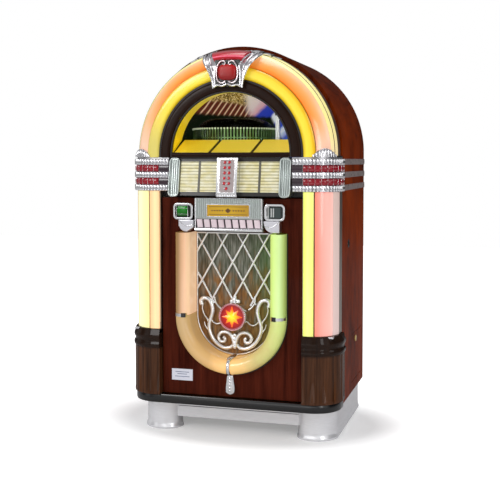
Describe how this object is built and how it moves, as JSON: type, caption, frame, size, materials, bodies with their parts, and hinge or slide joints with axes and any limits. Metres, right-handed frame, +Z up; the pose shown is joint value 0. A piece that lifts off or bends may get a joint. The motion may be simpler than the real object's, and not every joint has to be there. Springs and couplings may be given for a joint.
{
  "type": "jukebox",
  "caption": "Free-standing arched jukebox with lit front columns, hinged lid and front door, selector buttons, record carousel and player, loudspeaker, coin parts and cast base.",
  "frame": {"origin": "on the floor, under the middle of the object's box", "axes": "+Z up; -Y is the front, towards a person at the buttons; +X is that person's right"},
  "size_m": [0.855, 0.6882, 1.52],
  "materials": {
    "cabinet_wood": "semi-gloss lacquered mahogany veneer",
    "door_wood": "semi-gloss lacquered mahogany veneer",
    "inner_board": "raw fibreboard",
    "sheet_steel": "plated sheet",
    "speaker_black": "black frame, paper cone and magnet",
    "base_aluminium": "satin",
    "kick_black": "black",
    "plinth_bronze": "dark bronze",
    "column_plastic_left": "lit translucent pale yellow",
    "column_plastic_right": "lit translucent salmon and pale green",
    "edge_aluminium": "satin",
    "bubble_glass": "clear tube",
    "tinted_film": "tinted film",
    "collar_chrome": "polished",
    "collar_red": "deep red",
    "title_card": "printed card, blank",
    "button_red": "red",
    "lid_black": "dark brown-black",
    "arch_orange": "lit translucent orange",
    "arch_yellow": "lit translucent yellow",
    "window_glass": "clear",
    "tube_tan": "lit translucent tan",
    "tube_green": "lit translucent pale green",
    "grille_cloth": "woven, dark grey-green",
    "medallion_red": "red with a yellow starburst",
    "lock_brass": "satin",
    "record_vinyl": "black",
    "arm_aluminium": "satin"
  },
  "bodies": {
    "cabinet": {"cabinet_shell": "cabinet_wood", "cabinet_floor": "inner_board", "back_panel": "inner_board", "amplifier": "sheet_steel", "cash_box": "sheet_steel", "mechanism_chassis": "sheet_steel", "base_casting": "base_aluminium", "kick_trim": "kick_black", "column_base_left": "plinth_bronze", "column_base_right": "plinth_bronze", "column_lens_left": "column_plastic_left", "column_lens_right": "column_plastic_right", "column_pan_left": "edge_aluminium", "column_pan_right": "edge_aluminium", "bubble_tube_left": "bubble_glass", "bubble_tube_right": "bubble_glass", "collar_left": "collar_chrome", "collar_right": "collar_chrome", "title_end_left": "collar_chrome", "title_end_right": "collar_chrome", "selector_housing": "collar_chrome", "collar_band_left": "collar_red", "collar_band_right": "collar_red", "title_board": "title_card"},
    "lid": {"lid_frame": "lid_black", "arch_lens_left": "arch_orange", "arch_lens_right": "arch_orange", "arch_lens_inner": "arch_yellow", "window_glass": "window_glass", "crown_casting": "collar_chrome"},
    "front_door": {"door_panel": "door_wood", "grille_tube_left": "tube_tan", "grille_tube_right": "tube_green", "grille_tube_bottom": "tube_tan", "grille_board": "inner_board", "grille_cloth": "grille_cloth", "grille_casting": "collar_chrome", "medallion_lens": "medallion_red", "coin_casting": "collar_chrome", "loudspeaker": "speaker_black"},
    "coin_flap": {"coin_return_flap": "sheet_steel"},
    "cash_door": {"cash_door": "cabinet_wood"},
    "cash_lock": {"cash_lock": "lock_brass"},
    "carousel": {"record_carousel": "record_vinyl"},
    "platter": {"turntable": "sheet_steel"},
    "tone_arm": {"tone_arm": "arm_aluminium"},
    "gripper": {"gripper_arm": "arm_aluminium"},
    "tint_drum_left": {"color_cylinder_left": "tinted_film"},
    "tint_drum_right": {"color_cylinder_right": "tinted_film"},
    "button_01": {"select_button_01": "button_red"},
    "button_02": {"select_button_02": "button_red"},
    "button_03": {"select_button_03": "button_red"},
    "button_04": {"select_button_04": "button_red"},
    "button_05": {"select_button_05": "button_red"},
    "button_06": {"select_button_06": "button_red"},
    "button_07": {"select_button_07": "button_red"},
    "button_08": {"select_button_08": "button_red"},
    "button_09": {"select_button_09": "button_red"},
    "button_10": {"select_button_10": "button_red"},
    "button_11": {"select_button_11": "button_red"}
  },
  "joints": [
    {"name": "lid_hinge", "type": "hinge", "parent": "cabinet", "child": "lid", "pos_m": [0, -0.1605, 1.527], "axis": [-1, 0, 0], "range_deg": [0, 75]},
    {"name": "front_door_hinge", "type": "hinge", "parent": "cabinet", "child": "front_door", "pos_m": [-0.281, -0.2995, 0.545], "axis": [0, 0, -1], "range_deg": [0, 100]},
    {"name": "coin_flap_hinge", "type": "hinge", "parent": "front_door", "child": "coin_flap", "pos_m": [0.183, -0.3125, 0.897], "axis": [1, 0, 0], "range_deg": [0, 30]},
    {"name": "cash_door_hinge", "type": "hinge", "parent": "cabinet", "child": "cash_door", "pos_m": [0.41, 0.3005, 0.2635], "axis": [0, 0, 1], "range_deg": [0, 105]},
    {"name": "cash_lock_turn", "type": "hinge", "parent": "cash_door", "child": "cash_lock", "pos_m": [0.41, 0.15, 0.334], "axis": [1, 0, 0], "range_deg": [0, 90]},
    {"name": "carousel_turn", "type": "hinge", "parent": "cabinet", "child": "carousel", "pos_m": [-0.08, 0.045, 1.2], "axis": [0, 0, 1], "continuous": true},
    {"name": "platter_spin", "type": "hinge", "parent": "cabinet", "child": "platter", "pos_m": [0.251, 0.06, 1.205], "axis": [-1, 0, 0], "continuous": true},
    {"name": "tone_arm_swing", "type": "hinge", "parent": "cabinet", "child": "tone_arm", "pos_m": [0.225, 0.152, 1.15], "axis": [1, 0, 0], "range_deg": [0, 35]},
    {"name": "gripper_swing", "type": "hinge", "parent": "cabinet", "child": "gripper", "pos_m": [0.138, -0.096, 1.27], "axis": [0, 0, 1], "range_deg": [-45, 60]},
    {"name": "tint_drum_left_turn", "type": "hinge", "parent": "cabinet", "child": "tint_drum_left", "pos_m": [-0.345, -0.226, 0.69], "axis": [0, 0, 1], "continuous": true},
    {"name": "tint_drum_right_turn", "type": "hinge", "parent": "cabinet", "child": "tint_drum_right", "pos_m": [0.345, -0.226, 0.69], "axis": [0, 0, 1], "continuous": true},
    {"name": "button_01_press", "type": "slide", "parent": "cabinet", "child": "button_01", "axis": [0, 0.9894, -0.1455], "range_m": [0, 0.003], "stiffness_N_per_m": 150, "springref_m": -0.001},
    {"name": "button_02_press", "type": "slide", "parent": "cabinet", "child": "button_02", "axis": [0, 0.9894, -0.1455], "range_m": [0, 0.003], "stiffness_N_per_m": 150, "springref_m": -0.001},
    {"name": "button_03_press", "type": "slide", "parent": "cabinet", "child": "button_03", "axis": [0, 0.9894, -0.1455], "range_m": [0, 0.003], "stiffness_N_per_m": 150, "springref_m": -0.001},
    {"name": "button_04_press", "type": "slide", "parent": "cabinet", "child": "button_04", "axis": [0, 0.9894, -0.1455], "range_m": [0, 0.003], "stiffness_N_per_m": 150, "springref_m": -0.001},
    {"name": "button_05_press", "type": "slide", "parent": "cabinet", "child": "button_05", "axis": [0, 0.9894, -0.1455], "range_m": [0, 0.003], "stiffness_N_per_m": 150, "springref_m": -0.001},
    {"name": "button_06_press", "type": "slide", "parent": "cabinet", "child": "button_06", "axis": [0, 0.9894, -0.1455], "range_m": [0, 0.003], "stiffness_N_per_m": 150, "springref_m": -0.001},
    {"name": "button_07_press", "type": "slide", "parent": "cabinet", "child": "button_07", "axis": [0, 0.9894, -0.1455], "range_m": [0, 0.003], "stiffness_N_per_m": 150, "springref_m": -0.001},
    {"name": "button_08_press", "type": "slide", "parent": "cabinet", "child": "button_08", "axis": [0, 0.9894, -0.1455], "range_m": [0, 0.003], "stiffness_N_per_m": 150, "springref_m": -0.001},
    {"name": "button_09_press", "type": "slide", "parent": "cabinet", "child": "button_09", "axis": [0, 0.9894, -0.1455], "range_m": [0, 0.003], "stiffness_N_per_m": 150, "springref_m": -0.001},
    {"name": "button_10_press", "type": "slide", "parent": "cabinet", "child": "button_10", "axis": [0, 0.9894, -0.1455], "range_m": [0, 0.003], "stiffness_N_per_m": 150, "springref_m": -0.001},
    {"name": "button_11_press", "type": "slide", "parent": "cabinet", "child": "button_11", "axis": [0, 0.9894, -0.1455], "range_m": [0, 0.003], "stiffness_N_per_m": 150, "springref_m": -0.001}
  ]
}
